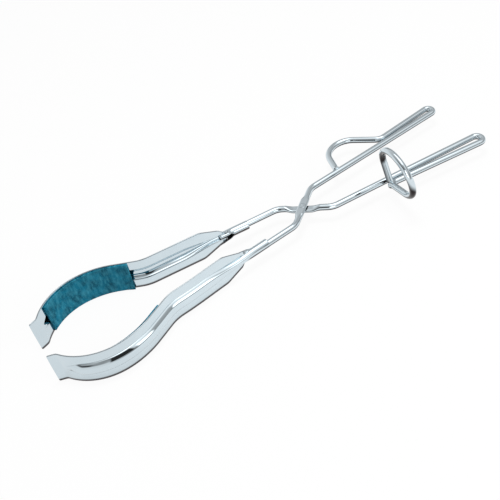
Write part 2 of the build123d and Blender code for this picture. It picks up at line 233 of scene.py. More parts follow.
# The wire's skin: a round section that turns into the flat eye near the rivet. The eye's
# section is a bar with half-round edges, walked at even steps of its own outline. level is 1
# for the upper eye and -1 for the lower one. The first end is domed and the last one is welded.
# A skin point is the wire's middle plus a times its side vector plus b times its up vector.
def wireGrid(runs, level):
    points, sides, ups, s = sampleRuns(runs)
    angle = np.linspace(0, 2 * np.pi, wireSkin["around"], endpoint=False)
    cosine, sine = np.cos(angle), np.sin(angle)
    rim = eye["thickness"] / 2
    straight = eye["width"] / 2 - rim
    walked = (1 - np.abs(np.arcsin(sine)) / (np.pi / 2)) * (straight + rim * np.pi / 2)
    onEdge = np.clip(walked - straight, 0, None) / rim
    flatX = np.sign(cosine) * (np.minimum(walked, straight) + rim * np.sin(onEdge))
    flatZ = np.sign(sine) * rim * np.cos(onEdge)
    fromPivot = np.hypot(points[:, 0] - pivot[0], points[:, 1] - pivot[1])
    nearPivot = fromPivot < eye["flatHalf"] + eye["taper"]
    nearPivot = nearPivot & (np.abs(points[:, 2]) < wireSkin["sameLevel"])
    flat = (smooth(1 - (fromPivot - eye["flatHalf"]) / eye["taper"]) * nearPivot)[:, None]
    drop = level * (eye["gap"] / 2 + rim)
    a = (1 - flat) * (wireRadius - wireSkin["inset"]) * cosine + flat * flatX
    b = (1 - flat) * (wireRadius - wireSkin["inset"]) * sine + flat * (flatZ + drop)
    weld = 1 + wireSkin["weldFlare"] * smooth(1 - (s[-1] - s) / wireSkin["weldLength"])
    toEnd = 1 - np.clip(s / wireSkin["endDome"], 0, 1)
    dome = np.sqrt(np.clip(1 - toEnd**2, wireSkin["endLeast"], 1))
    a, b = a * (weld * dome)[:, None], b * (weld * dome)[:, None]
    skin = points[:, None] + a[..., None] * sides[:, None] + b[..., None] * ups[:, None]
    lengths = np.stack(np.broadcast_arrays(s[:, None], angle * wireRadius), -1)
    return skin, lengths


# A vector on the other side of the tongs' middle plane: Y times -1.
def mirrored(vector):
    return np.asarray(vector) * [1, -1, 1]


# A run on the other side of the tongs' middle plane, where a bend's axis turns over.
def mirroredRun(run):
    start, way, axis, radius, length = run
    return mirrored(start), mirrored(way), None if axis is None else -mirrored(axis), radius, length


# Corners from inside the socket to the pivot. side is 1 for a jaw at +Y.
def frontCorners(side):
    start = onLine(jawCorner, -tongs["shank"], bends["wireStart"])
    return [start * [1, side, 1], jawCorner * [1, side, 1]]


# Left jaw shank, eye, handle rod, hairpin, second strand and the flat finger loop.
def fingerRuns():
    hairpin, strandStart = hairpinRun(fingerLoop["hairpinInner"], fingerLoop["crotchX"])
    crotch = strandAt(fingerLoop["crotchX"])
    loopCorner = crotch + heading(180 - fingerLoop["leadAngle"]) * fingerLoop["leadLength"]
    rodAtFoot = onLine(handleCorner, tongs["handle"], fingerLoop["footX"])
    foot = rodAtFoot + unit(loopCorner - rodAtFoot) * wireRadius * bends["weldSink"]
    radius = bends["armRadius"]
    rod = cornerRuns(frontCorners(-1) + [handleCorner, hairpin[0]], [radius, radius])
    loopRadius = fingerLoop["innerDiameter"] / 2 + wireRadius
    loop = cornerRuns([strandStart, crotch, loopCorner, foot], [bends["crotchRadius"], loopRadius])
    return rod + [hairpin] + loop


# Right jaw shank, eye, handle rod, hairpin, second strand and the raised thumb ring. The ring
# leaves and meets its two bars along tangents, so it turns by half a circle and twice the
# half angle between the bars.
def thumbRuns():
    hairpin, strandStart = hairpinRun(thumbRing["hairpinInner"], thumbRing["apexX"])
    apex = mirrored(strandAt(thumbRing["apexX"]))
    lean, rise = np.radians(thumbRing["lean"]), np.radians(thumbRing["rise"])
    reachWay = np.array([-np.sin(lean), -np.cos(lean) * np.cos(rise), np.cos(lean) * np.sin(rise)])
    upperWay = np.array([0, np.sin(rise), np.cos(rise)])
    ringRadius = thumbRing["innerDiameter"] / 2 + wireRadius
    half = np.arcsin(ringRadius / thumbRing["reach"])
    bar = thumbRing["reach"] * np.cos(half)
    upperBar = reachWay * np.cos(half) + upperWay * np.sin(half)
    lowerBar = reachWay * np.cos(half) - upperWay * np.sin(half)
    top, bottom = apex + upperBar * bar, apex + lowerBar * bar
    radius = bends["armRadius"]
    corners = [mirrored(corner) for corner in frontCorners(1)] + [handleCorner, hairpin[0]]
    rod = [mirroredRun(run) for run in cornerRuns(corners, [radius, radius]) + [hairpin]]
    bend = cornerRuns([mirrored(strandStart), apex, top], [thumbRing["bendRadius"]])
    ringAxis = unit(np.cross(upperBar, reachWay))
    ring = (top, upperBar, ringAxis, ringRadius, ringRadius * (np.pi + 2 * half))
    butt = apex + lowerBar * wireRadius * bends["weldSink"]
    closing = (bottom, -lowerBar, None, 0, np.linalg.norm(bottom - butt))
    return rod + bend + [ring, closing]


wires = [
    loopPiece("fingerArm", *wireGrid(fingerRuns(), 1), "finger_arm", "finger_side", "wire_steel"),
    loopPiece("thumbArm", *wireGrid(thumbRuns(), -1), "thumb_arm", "thumb_side", "wire_steel"),
]
print("wire arms made")


# Jaws: one strip of sheet each, bent to a lip, a bow and a throat. A bead is pressed along its
# middle and becomes the socket, where the whole strip is rolled up round the wire. The names
# that end in Start, Peak, End or X are places along the tongs, in millimetres from the tips.

sheet = {
    "thickness": 0.8, "width": 24.8, "lip": 5.2, "lipAngle": 20.0, "tipRadius": 2.5, "softening": 2.4,
    "tipBulge": 0.15, "tipCorner": 1.0, "bowHeight": 38.0, "frontRadius": 40.0, "frontAngle": 58.0,
    "rearRadius": 52.5, "rearAngle": 29.5, "throatRadius": 25.0, "shoulderX": 128.0, "mouthX": 145.5,
    "shoulderSharpness": 24, "throatHalf": 5.0, "socketLength": 19.0, "socketGap": 0.05,
    "swell": 1.5, "swellStart": 52.0, "swellPeak": 94.0, "swellEnd": 134.0, "tipFade": 9.0,
    "leastFlange": 0.5,
}
bead = {
    "half": 5.3, "depth": 3.0, "foot": 0.7, "tubeFoot": 0.45, "frontAngle": 57.0, "fullAngle": 36.0,
    "startShare": 0.3, "startFade": 1.5, "leastDepth": 0.004, "narrowStart": 112.0, "narrowEnd": 138.0,
    "rollStart": 141.0, "rollEnd": 153.0, "seam": 0.5, "seamMouth": 4.0, "seamMouthLength": 8.0,
}
jawSkin = {
    "lineStep": 0.02, "lineLead": 5.0, "lineTail": 90.0, "rowStep": 0.4, "endRows": 6,
    "beadColumns": 24, "footColumns": 9, "flangeColumns": 22, "edgeColumns": 8, "noFoot": 9.0,
}


# Where two flat lines cross: along the first by (gap x second way) / (first way x second way).
def meetPoint(pointA, angleA, pointB, angleB):
    a, b = heading(angleA), heading(angleB)
    gap = pointB - pointA
    return pointA + a * (gap[0] * b[1] - gap[1] * b[0]) / (a[0] * b[1] - a[1] * b[0])


# The +Y sheet's middle line: distance, X, Y and heading from the tip to the socket's end. The
# heading is the running sum of the bends, averaged over the softening length so that no bend
# starts with a jerk, and the line is the running sum of the steps along it. It is then put so
# that the bow's crest is at its height and the bow's rear meets the wire's line.
def jawLine():
    step = jawSkin["lineStep"]
    front, rear = np.radians(sheet["frontAngle"]), np.radians(sheet["rearAngle"])
    lip = np.radians(sheet["lipAngle"])
    throatTurn = rear - np.radians(tongs["shank"])
    tipX = sheet["lip"] * np.cos(lip) + sheet["frontRadius"] * np.sin(front)
    tipX += sheet["tipRadius"] * (np.sin(front) - np.sin(lip))
    rearEnd = np.array([tipX, sheet["bowHeight"] - sheet["rearRadius"], 0])
    rearEnd = rearEnd + sheet["rearRadius"] * np.array([np.sin(rear), np.cos(rear), 0])
    corner = meetPoint(rearEnd, -sheet["rearAngle"], jawCorner, -tongs["shank"])
    slope = np.linalg.norm(corner - rearEnd) - sheet["throatRadius"] * np.tan(throatTurn / 2)
    pieces = [
        (sheet["lip"], 0), (sheet["tipRadius"] * (front - lip), 1 / sheet["tipRadius"]),
        (sheet["frontRadius"] * front, -1 / sheet["frontRadius"]),
        (sheet["rearRadius"] * rear, -1 / sheet["rearRadius"]), (slope, 0),
        (sheet["throatRadius"] * throatTurn, 1 / sheet["throatRadius"]), (jawSkin["lineTail"], 0),
    ]
    marks = np.cumsum([length for length, bend in pieces])
    curvatures = np.array([bend for length, bend in pieces])
    s = np.arange(-jawSkin["lineLead"], marks[-1], step)
    curvature = curvatures[np.clip(np.searchsorted(marks, s), 0, len(pieces) - 1)]
    angle = lip + np.cumsum(curvature) * step
    width = int(sheet["softening"] / step)
    soft = np.convolve(np.pad(angle, width, "edge"), np.ones(width) / width, "same")[width:-width]
    x, y = np.cumsum(np.cos(soft)) * step, np.cumsum(np.sin(soft)) * step
    atCrest = marks[2]  # lip, tip bend and front of the bow lie before it
    crest = np.searchsorted(s, atCrest)
    return s, x - x[crest] + tipX, y - y[crest] + sheet["bowHeight"], soft, atCrest


lineS, lineX, lineY, lineAngle, crestS = jawLine()
socketStart = float(np.interp(sheet["mouthX"], lineX, lineS))
tubeRadius = wireRadius + sheet["socketGap"] + sheet["thickness"] / 2


# Distances of the rows along the sheet, and the share of its thickness at each row. The rows
# crowd at both ends, where the edge is half round: the share is sin(t) where the distance is
# half the thickness times 1 - cos(t).
def jawRows():
    endX = sheet["mouthX"] + sheet["socketLength"] * np.cos(np.radians(tongs["shank"]))
    endS = np.interp(endX, lineX, lineS)
    turn = np.linspace(0, np.pi / 2, jawSkin["endRows"])
    edge = sheet["thickness"] / 2 * (1 - np.cos(turn))
    step = jawSkin["rowStep"]
    inner = np.arange(edge[-1] + step, endS - edge[-1] - step / 2, step)
    s = np.concatenate([edge, inner, endS - edge[::-1]])
    share = np.concatenate([np.sin(turn), np.ones(len(inner)), np.sin(turn[::-1])])
    return s, share


# The upper half of the mid sheet's section at each row: out, height, slant and the way left to
# the edge, and the way past the bead's foot. Going outwards from the bead's crest the slant grows
# round the bead, turns back at the foot and is then straight along the flange. Towards the socket
# the turn back fades away and the flange curls on round the wire. Out and height are the running
# sums of the slant's sine and cosine.
def halfSection(s):
    x = np.interp(s, lineS, lineX)
    beforeCrest = np.degrees((crestS - s) / sheet["frontRadius"])
    grown = smooth((bead["frontAngle"] - beforeCrest) / (bead["frontAngle"] - bead["fullAngle"]))
    narrowed = smooth((x - bead["narrowStart"]) / (bead["narrowEnd"] - bead["narrowStart"]))
    rolled = smooth((x - bead["rollStart"]) / (bead["rollEnd"] - bead["rollStart"]))
    half = bead["half"] * (bead["startShare"] + (1 - bead["startShare"]) * grown)
    half = half * (1 - narrowed) + tubeRadius * narrowed
    depth = np.maximum(bead["depth"] * grown ** bead["startFade"], bead["leastDepth"])
    depth = depth * (1 - narrowed) + tubeRadius * narrowed
    foot = bead["foot"] * (1 - narrowed) + bead["tubeFoot"] * narrowed

    fall = (x - sheet["shoulderX"]) / (sheet["mouthX"] - sheet["shoulderX"])
    fall = np.logaddexp(0, fall * sheet["shoulderSharpness"]) / sheet["shoulderSharpness"]
    edge = sheet["width"] / 2 - sheet["thickness"] / 2
    outline = edge - (edge - sheet["throatHalf"]) * fall
    seamLeft = 1 - smooth((x - sheet["mouthX"]) / bead["seamMouthLength"])
    seam = bead["seam"] + (bead["seamMouth"] - bead["seam"]) * seamLeft
    turn = 2 * np.arctan(depth / half)
    footRun = foot * turn
    curled = np.pi / 2 * tubeRadius - seam / 2 - footRun
    flange = np.maximum(outline - half, sheet["leastFlange"]) * (1 - rolled) + curled * rolled
    radius = half / np.sin(turn) - foot * (1 - rolled)
    beadRun = radius * turn

    w = [0 * s[:, None]]
    for start, run, count in (
        (0 * s, beadRun, jawSkin["beadColumns"]), (beadRun, footRun, jawSkin["footColumns"]),
        (beadRun + footRun, flange, jawSkin["flangeColumns"]),
    ):
        w.append(start[:, None] + run[:, None] * np.linspace(0, 1, count)[None, 1:])
    w = np.concatenate(w, 1)

    # How far the section has turned from the crest to this way along it.
    def slantAt(w):
        onBead = np.minimum(w, beadRun[:, None]) / radius[:, None]
        onFoot = np.clip(w - beadRun[:, None], 0, footRun[:, None])
        onFlange = np.maximum(w - (beadRun + footRun)[:, None], 0)
        footBend = (rolled / tubeRadius - (1 - rolled) / foot)[:, None]
        return onBead + onFoot * footBend + onFlange * (rolled / tubeRadius)[:, None]

    step = np.diff(w, axis=1)
    middle = slantAt((w[:, 1:] + w[:, :-1]) / 2)
    nothing = np.zeros((len(s), 1))
    out = depth[:, None] - np.concatenate([nothing, np.cumsum(np.sin(middle) * step, 1)], 1)
    height = np.concatenate([nothing, np.cumsum(np.cos(middle) * step, 1)], 1)
    return out, height, slantAt(w), w[:, -1:] - w, w - (beadRun + footRun / 2)[:, None]


# The middle line of one jaw. The left jaw is bent a little wider behind its bow, so its line is
# pushed out there.
def middleLine(side, s):
    x = np.interp(s, lineS, lineX)
    rising = smooth((lineX - sheet["swellStart"]) / (sheet["swellPeak"] - sheet["swellStart"]))
    falling = smooth((sheet["swellEnd"] - lineX) / (sheet["swellEnd"] - sheet["swellPeak"]))
    swell = sheet["swell"] * rising * falling * (side < 0)
    angle = lineAngle + np.arctan(np.gradient(swell, lineS))
    return x, np.interp(s, lineS, lineY + swell), np.interp(s, lineS, angle)


# The tip's outline: how far behind the tip's middle the edge starts at this height. A quarter
# circle rounds each corner, and the bulge falls with the square of the height.
def tipShift(height):
    half = sheet["width"] / 2
    across = np.clip(np.abs(height) / half, 0, 1)
    inCorner = (across * half - half + sheet["tipCorner"]) / sheet["tipCorner"]
    inCorner = np.clip(inCorner, 0, 0.999)  # stops short of the circle's upright end
    return sheet["tipCorner"] * (1 - np.sqrt(1 - inCorner**2)) - sheet["tipBulge"] * (1 - across**2)


# Half a loop's columns followed by its mirror image, without the two shared ends.
def closedLoop(upper, sign):
    return np.concatenate([upper, sign * upper[:, -2:0:-1]], 1)


# The whole skin of a jaw. A skin point is the mid sheet plus or minus half the thickness along
# its normal, the end of the flange is a half round, and the lower half mirrors the upper one.
def jawGrid(side):
    s, share = jawRows()
    out, height, slant, left, fromFoot = halfSection(s)
    thick = (sheet["thickness"] / 2 * share)[:, None]
    around = np.linspace(0, np.pi, jawSkin["edgeColumns"])[1:-1]
    endSlant = slant[:, -1:] + around
    endOut = out[:, -1:] + thick * np.cos(endSlant)
    endUp = height[:, -1:] + thick * np.sin(endSlant)
    stepOut, stepUp = thick * np.cos(slant), thick * np.sin(slant)
    loopOut = closedLoop(np.concatenate([out + stepOut, endOut, (out - stepOut)[:, ::-1]], 1), 1)
    loopUp = closedLoop(np.concatenate([height + stepUp, endUp, (height - stepUp)[:, ::-1]], 1), -1)
    loopLeft = closedLoop(np.concatenate([left, 0 * endUp, left[:, ::-1]], 1), 1)
    onEdge = 0 * endUp + jawSkin["noFoot"]
    loopFoot = closedLoop(np.concatenate([fromFoot, onEdge, fromFoot[:, ::-1]], 1), 1)
    loopS = s[:, None] + tipShift(loopUp) * smooth(1 - s / sheet["tipFade"])[:, None]
    x, y, angle = middleLine(side, loopS)
    x, y = x - loopOut * np.sin(angle), y + loopOut * np.cos(angle)
    return np.stack([x, side * y, loopUp], -1), np.stack([loopS, loopLeft], -1), loopFoot


# A jaw at -Y for side -1 and at +Y for side 1.
def jawPiece(name, side, node, body):
    grid, lengths, fromFoot = jawGrid(side)
    return loopPiece(name, grid, lengths, node, body, "sheet_steel", capped=False, fromFoot=fromFoot)


jaws = [
    jawPiece("leftJaw", -1, "left_jaw", "finger_side"),
    jawPiece("rightJaw", 1, "right_jaw", "thumb_side"),
]
print("jaws made")


# Gaskets: a strip of fibre sheet glued to the inner face of each bow. Its top edge lies a
# little lower at the front than at the rear, and its lower rear corner has come away slightly.

gasket = {
    "thickness": 1.3, "glueGap": 0.1, "frontAngle": 43.0, "rearRun": 11.0, "lowerMargin": 0.5,
    "upperMarginRear": 0.55, "upperMarginFront": 2.0, "edgeRound": 0.2, "lift": 0.7, "liftLength": 7.0,
    "liftBelow": 5.0, "liftHeight": 7.0, "rows": 160, "faceColumns": 40, "edgeColumns": 4,
}


# The skin of a gasket. Each row goes up the glued face, over the top edge, down the open face and
# back under the lower edge. On a rounded corner the skin is the rounding times 1 - cos(t) from one
# of the corner's faces and times 1 - sin(t) from the other.
def gasketGrid(side):
    start = crestS - sheet["frontRadius"] * np.radians(gasket["frontAngle"])
    end = crestS + sheet["rearRadius"] * np.radians(sheet["rearAngle"]) + gasket["rearRun"]
    s = np.linspace(start, end, gasket["rows"])[:, None]
    rising = smooth((s - start) / (end - start))
    half = sheet["width"] / 2
    top = half - gasket["upperMarginFront"] * (1 - rising) - gasket["upperMarginRear"] * rising
    bottom = -half + gasket["lowerMargin"]
    rounding, thickness = gasket["edgeRound"], gasket["thickness"]
    turn = np.linspace(0, np.pi / 2, gasket["edgeColumns"])
    slow, fast = 1 - np.cos(turn), 1 - np.sin(turn)
    ramp = np.linspace(0, 1, gasket["faceColumns"])
    edge = np.ones(2 * len(turn))
    depths = np.concatenate([
        0 * ramp, rounding * slow, thickness - rounding * fast,
        0 * ramp + thickness, thickness - rounding * slow, rounding * fast,
    ])
    share = np.concatenate([ramp, edge, ramp[::-1], 0 * edge])
    inwards = np.concatenate([1 - 2 * ramp, -fast, -slow, 2 * ramp - 1, fast, slow])
    up = bottom + (top - bottom) * share[None] + rounding * inwards[None]
    lift = gasket["lift"] * smooth((s - end + gasket["liftLength"]) / gasket["liftLength"])
    lift = lift * smooth((-up - gasket["liftBelow"]) / gasket["liftHeight"])
    distance = -(sheet["thickness"] / 2 + gasket["glueGap"] + depths[None] + lift)
    x, y, angle = middleLine(side, s)
    x, y = x - distance * np.sin(angle), y + distance * np.cos(angle)
    lengths = np.stack(np.broadcast_arrays(s, up), -1)
    return np.stack([x, side * y, up], -1), lengths


gaskets = [
    loopPiece("leftGasket", *gasketGrid(-1), "left_pad", "finger_side", "gasket_fibre"),
    loopPiece("rightGasket", *gasketGrid(1), "right_pad", "thumb_side", "gasket_fibre"),
]
print("gaskets made")


# Rivet: a shank through both eyes with a low head each side, dented by the punch.

rivet = {
    "shank": 3.1, "head": 5.1, "headHeight": 0.22, "headSag": 0.55, "edgeRound": 0.12, "seat": 0.04,
    "dent": 1.1, "dentDepth": 0.18, "dentFlat": 0.02, "corner": 0.01, "around": 48,
    "dentRows": 6, "domeRows": 12, "edgeRows": 5,
}


# The outline from the upper dent down the outside to the lower dent, turned about the rivet's
# axis. The dent is a cone, the head falls with the square of the radius, its edge is a quarter
# circle, and the lower half mirrors the upper one.
def rivetGrid():
    face = eye["gap"] / 2 + eye["thickness"] + rivet["seat"]
    head, crown, shank = rivet["head"] / 2, face + rivet["headHeight"], rivet["shank"] / 2
    dentEdge, sag = rivet["dent"] / 2, rivet["headHeight"] * rivet["headSag"]
    dent = np.linspace(rivet["dentFlat"], dentEdge, rivet["dentRows"])
    dome = np.linspace(dentEdge, head - rivet["edgeRound"], rivet["domeRows"])
    turn = np.linspace(0, np.pi / 2, rivet["edgeRows"])
    radius = np.concatenate([
        dent, dome, head - rivet["edgeRound"] * (1 - np.sin(turn)), [head, shank + rivet["corner"], shank],
    ])
    height = np.concatenate([
        crown - rivet["dentDepth"] * (1 - dent / dentEdge), crown - sag * (dome / head) ** 2,
        crown - sag - rivet["edgeRound"] * (1 - np.cos(turn)), [face, face, 0.0],
    ])
    radius = np.concatenate([radius, radius[-2::-1]])
    height = np.concatenate([height, -height[-2::-1]])
    angle = np.linspace(0, 2 * np.pi, rivet["around"], endpoint=False)
    x = pivot[0] + radius[:, None] * np.cos(angle)
    y = pivot[1] + radius[:, None] * np.sin(angle)
    z = np.broadcast_to(height[:, None], x.shape)
    lengths = np.stack(np.broadcast_arrays(radius[:, None], angle * head), -1)
    return np.stack([x, y, z], -1), lengths


rivetPiece = loopPiece("pivotRivet", *rivetGrid(), "pivot_rivet", "finger_side", "rivet_steel")
print("rivet made")


# Materials

# An sRGB hex colour as linear light: a straight piece near black and a power of 2.4 above it.
def linear(code, alpha=1.0):
    parts = np.array([int(code[i: i + 2], 16) for i in (1, 3, 5)]) / 255
    parts = np.where(parts <= 0.04045, parts / 12.92, ((parts + 0.055) / 1.055) ** 2.4)
    return (*parts.tolist(), alpha)


# One node with its settings and its input links. A link's name has _ where the socket has a space.
def add(tree, kind, settings=None, **links):
    node = tree.nodes.new(kind)
    for key, value in (settings or {}).items():
        if key in node.inputs:
            node.inputs[key].default_value = value
        else:
            setattr(node, key, value)
    for key, source in links.items():
        tree.links.new(source, node.inputs[key.replace("_", " ")])
    return node


# One math node. Each value is a number or another node's output.
def calculate(tree, operation, *values):
    node = add(tree, "ShaderNodeMath", {"operation": operation})
    for socket, value in zip(node.inputs, values):
        if isinstance(value, bpy.types.NodeSocket):
            tree.links.new(value, socket)
        else:
            socket.default_value = value
    return node.outputs[0]


# Two colours mixed: the first at share 0, the second at share 1.
def blend(tree, share, first, second, kind="MIX"):
    node = add(tree, "ShaderNodeMix", {"data_type": "RGBA", "blend_type": kind})
    for index, source in ((0, share), (6, first), (7, second)):
        if isinstance(source, bpy.types.NodeSocket):
            tree.links.new(source, node.inputs[index])
        else:
            node.inputs[index].default_value = source
    return node.outputs[2]


# From 0 at the first limit to 1 at the second, with level ends. The first may be the higher one.
def between(tree, value, first, second):
    node = add(tree, "ShaderNodeMapRange", {"interpolation_type": "SMOOTHSTEP"}, Value=value)
    node.inputs["From Min"].default_value = first
    node.inputs["From Max"].default_value = second
    return node.outputs["Result"]


# A value from low to high as a pattern goes from 0.3 to 0.7, where nearly all of a noise lies.
def spread(tree, value, low, high):
    limits = {"From Min": 0.3, "From Max": 0.7, "To Min": low, "To Max": high}
    return add(tree, "ShaderNodeMapRange", limits, Value=value).outputs["Result"]


# Noise on a map whose unit is one millimetre, with blotches of this many millimetres each way.
def noiseOf(tree, source, size, detail=3.0):
    scale = tuple(1 / length for length in size)
    place = add(tree, "ShaderNodeMapping", {"Scale": scale}, Vector=source).outputs["Vector"]
    return add(tree, "ShaderNodeTexNoise", {"Scale": 1.0, "Detail": detail}, Vector=place).outputs["Fac"]


# An empty material and its tree.
def newMaterial(name):
    material = bpy.data.materials.new(name)
    material.use_nodes = True
    material.node_tree.nodes.clear()
    return material, material.node_tree


# Three finishes of the same stainless steel. Drawn wire, buffed on a wheel: long narrow streaks and
# near-mirror gloss. Rolled sheet, pressed and then buffed: broad calm mirrors with a faint grain.
# The rivet, peened cold: a little rougher and greyer, with marks round its axis. Real buffing
# lines are about 0.02 mm apart. The grain is over ten times as coarse so that it shows, and its
# two numbers are its marks' lengths in millimetres along the map's two directions.
# Each finish's shade colour is painted shade, mixed in where its shade function says.
steels = {
    "wire": {
        "name": "buffedDrawnWire", "bright": "#dde8ed", "dull": "#cfdbe2", "shade": "#2a2525",
        "grain": (30.0, 0.25), "cloud": 9.0, "rough": (0.03, 0.06), "relief": 0.004,
    },
    "sheet": {
        "name": "buffedRolledSheet", "bright": "#dde9ef", "dull": "#d1dfe6", "shade": "#4e4848",
        "grain": (40.0, 0.3), "cloud": 14.0, "rough": (0.03, 0.07), "relief": 0.004,
    },
    "rivet": {
        "name": "peenedRivet", "bright": "#d8e3e8", "dull": "#cbd7de", "shade": "#6e6c6e",
        "grain": (0.3, 3.0), "cloud": 1.5, "rough": (0.06, 0.12), "relief": 0.01,
    },
}
buffing = {"grainDetail": 2.0, "grainShare": 0.5, "bump": 0.5}


# A slow cloud mixes the bright and the dull tone, grain and cloud together vary the gloss, which
# keeps long mirror streaks alive, and the grain is the relief. shadeAt gives the share of the
# shade colour, which is painted shade.
def buffedSteel(look, shadeAt):
    material, tree = newMaterial(look["name"])
    lengths = add(tree, "ShaderNodeUVMap", {"uv_map": "lengths"}).outputs["UV"]
    grain = noiseOf(tree, lengths, (*look["grain"], 1.0), buffing["grainDetail"])
    cloud = noiseOf(tree, lengths, (look["cloud"], look["cloud"], 1.0))
    tone = blend(tree, cloud, linear(look["bright"]), linear(look["dull"]))
    # Painted shade: the shade colour mixed in by shadeAt's share.
    tone = blend(tree, shadeAt(tree, lengths), tone, linear(look["shade"]))
    mixed = calculate(tree, "MULTIPLY", cloud, 1 - buffing["grainShare"])
    mixed = calculate(tree, "MULTIPLY_ADD", grain, buffing["grainShare"], mixed)
    relief = {"Strength": buffing["bump"], "Distance": look["relief"] / 1000}
    bump = add(tree, "ShaderNodeBump", relief, Height=grain)
    shader = add(
        tree, "ShaderNodeBsdfPrincipled", {"Metallic": 1.0}, Base_Color=tone,
        Roughness=spread(tree, mixed, *look["rough"]), Normal=bump.outputs["Normal"],
    )
    add(tree, "ShaderNodeOutputMaterial", Surface=shader.outputs["BSDF"])
    return material


# Where painted shade darkens the steel. The painted underside shade goes by how far a face looks
# up, from dark to clear. The painted edge shade reaches in by so many millimetres, as dark as the
# share says. A painted dark line runs at the bead's foot, within so many millimetres of it, and
# starts behind the lip.
shades = {
    "paintedUndersideShade": (-0.22, 0.12), "paintedUndersideStart": (-2.0, 3.0), "upperReach": 0.15, "lowerReach": 2.1,
    "upperShare": 0.4, "lowerShare": 0.95, "edgeFade": 0.5, "paintedFootLine": (0.45, 0.1),
    "paintedFootLineStart": (8.0, 16.0), "paintedFootLineShare": 0.35, "rimWidth": 0.25, "rimShare": 0.3,
}


# One minus the rise of the face's upward look between the two limits: painted shade on the
# underside of a wire, standing in for the table's shade that it mirrors.
def paintedUndersideShade(tree, lengths):
    normal = add(tree, "ShaderNodeNewGeometry").outputs["Normal"]
    height = add(tree, "ShaderNodeSeparateXYZ", Vector=normal).outputs["Z"]
    return calculate(tree, "SUBTRACT", 1.0, between(tree, height, *shades["paintedUndersideShade"]))


# Painted shade along the sheet's edges. The lower edge's band is the wider one, standing in for
# the shade it mirrors where it stands on the table. The shade falls from the edge to its reach. The
# darkest of the edge shade, the painted foot line and the socket's painted underside is kept.
def paintedEdgeShade(tree, lengths):
    along = add(tree, "ShaderNodeSeparateXYZ", Vector=lengths)
    travelled, left = along.outputs["X"], along.outputs["Y"]
    place = add(tree, "ShaderNodeTexCoord").outputs["Object"]
    height = add(tree, "ShaderNodeSeparateXYZ", Vector=place).outputs["Z"]
    # Painted shade: dark bands along both edges, wider and darker at the lower edge.
    isLower = calculate(tree, "LESS_THAN", height, drawingZero[2] / 1000)
    wider, darker = shades["lowerReach"] - shades["upperReach"], shades["lowerShare"] - shades["upperShare"]
    reach = calculate(tree, "MULTIPLY_ADD", isLower, wider, shades["upperReach"])
    share = calculate(tree, "SUBTRACT", 1.0, calculate(tree, "DIVIDE", left, reach))
    strength = calculate(tree, "MULTIPLY_ADD", isLower, darker, shades["upperShare"])
    edge = calculate(tree, "MULTIPLY", between(tree, share, 0.0, shades["edgeFade"]), strength)
    # Painted shade: a dark line along the bead's foot, starting behind the lip.
    fromFoot = add(tree, "ShaderNodeAttribute", {"attribute_name": "fromFoot"}).outputs["Fac"]
    paintedFootLine = between(tree, calculate(tree, "ABSOLUTE", fromFoot), *shades["paintedFootLine"])
    started = between(tree, travelled, *shades["paintedFootLineStart"])
    started = calculate(tree, "MULTIPLY", started, shades["paintedFootLineShare"])
    paintedFootLine = calculate(tree, "MULTIPLY", paintedFootLine, started)
    # Painted shade on the underside of the socket, as on the wires.
    inSocket = between(tree, travelled, *(socketStart + start for start in shades["paintedUndersideStart"]))
    shade = calculate(tree, "MULTIPLY", paintedUndersideShade(tree, lengths), inSocket)
    return calculate(tree, "MAXIMUM", edge, calculate(tree, "MAXIMUM", shade, paintedFootLine))


# Painted shade at the rim of the rivet's head, in the gap to the eye. It rises over the rim's width.
def paintedRimShade(tree, lengths):
    radius = add(tree, "ShaderNodeSeparateXYZ", Vector=lengths).outputs["X"]
    rim = between(tree, radius, rivet["head"] / 2 - shades["rimWidth"], rivet["head"] / 2)
    return calculate(tree, "MULTIPLY", rim, shades["rimShare"])


# Compressed fibre gasket sheet, pressed and then cut: matt and blue-green, with slow patches,
# paler streaks where the press has rubbed it, and flecks of fibre. Patches, streaks and flecks
# have their sizes in millimetres. Real fibres are finer, about 0.02 mm, and are drawn as flecks
# that show. A pair of limits may go below 0, so that only the pattern's peaks turn pale.
fibre = {
    "name": "compressedFibreSheet", "tone": "#036f8b", "deep": "#014a5f", "pale": "#48a0b6",
    "patch": 9.0, "patchLimits": (0.35, 0.65), "streak": (2.4, 6.0), "streakDetail": 4.0,
    "streakPale": (-0.25, 0.6), "fleck": 0.5, "fleckDetail": 2.0, "fleckPale": (-0.3, 0.5),
    "roughness": 0.85, "specular": 0.15, "bump": 0.4, "relief": 0.05,
}


# The patches mix the deep tone and the tone, then streaks and flecks pale it, and the flecks are
# the relief.
def fibreSheet(look):
    material, tree = newMaterial(look["name"])
    lengths = add(tree, "ShaderNodeUVMap", {"uv_map": "lengths"}).outputs["UV"]
    patch = noiseOf(tree, lengths, (look["patch"], look["patch"], 1.0))
    streak = noiseOf(tree, lengths, (*look["streak"], 1.0), look["streakDetail"])
    fleck = noiseOf(tree, lengths, (look["fleck"], look["fleck"], 1.0), look["fleckDetail"])
    patched = between(tree, patch, *look["patchLimits"])
    tone = blend(tree, patched, linear(look["deep"]), linear(look["tone"]))
    tone = blend(tree, spread(tree, streak, *look["streakPale"]), tone, linear(look["pale"]))
    tone = blend(tree, spread(tree, fleck, *look["fleckPale"]), tone, linear(look["pale"]))
    relief = {"Strength": look["bump"], "Distance": look["relief"] / 1000}
    bump = add(tree, "ShaderNodeBump", relief, Height=fleck)
    matt = {"Roughness": look["roughness"], "Specular IOR Level": look["specular"]}
    shader = add(
        tree, "ShaderNodeBsdfPrincipled", matt, Base_Color=tone, Normal=bump.outputs["Normal"],
    )
    add(tree, "ShaderNodeOutputMaterial", Surface=shader.outputs["BSDF"])
    return material


